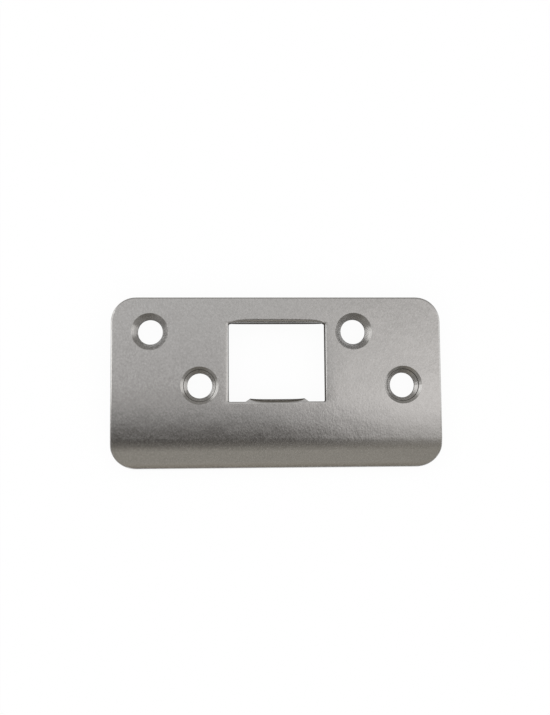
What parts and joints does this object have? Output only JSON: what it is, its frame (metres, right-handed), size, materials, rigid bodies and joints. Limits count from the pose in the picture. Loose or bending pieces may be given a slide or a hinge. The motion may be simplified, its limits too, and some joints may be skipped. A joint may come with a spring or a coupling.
{
  "type": "door strike plate",
  "caption": "Full-lip door strike plate folded from sheet steel, with a latch window, bent-back tabs and staggered countersunk screw holes.",
  "frame": {"origin": "middle of the latch window, level with the plate's back face", "axes": "+X along the plate, +Y towards the long edge opposite the lip, +Z out of the front face"},
  "size_m": [0.07, 0.0362, 0.0042],
  "materials": {
    "steel": "satin, tumbled"
  },
  "bodies": {
    "root": {"strike_plate": "steel"}
  },
  "joints": []
}
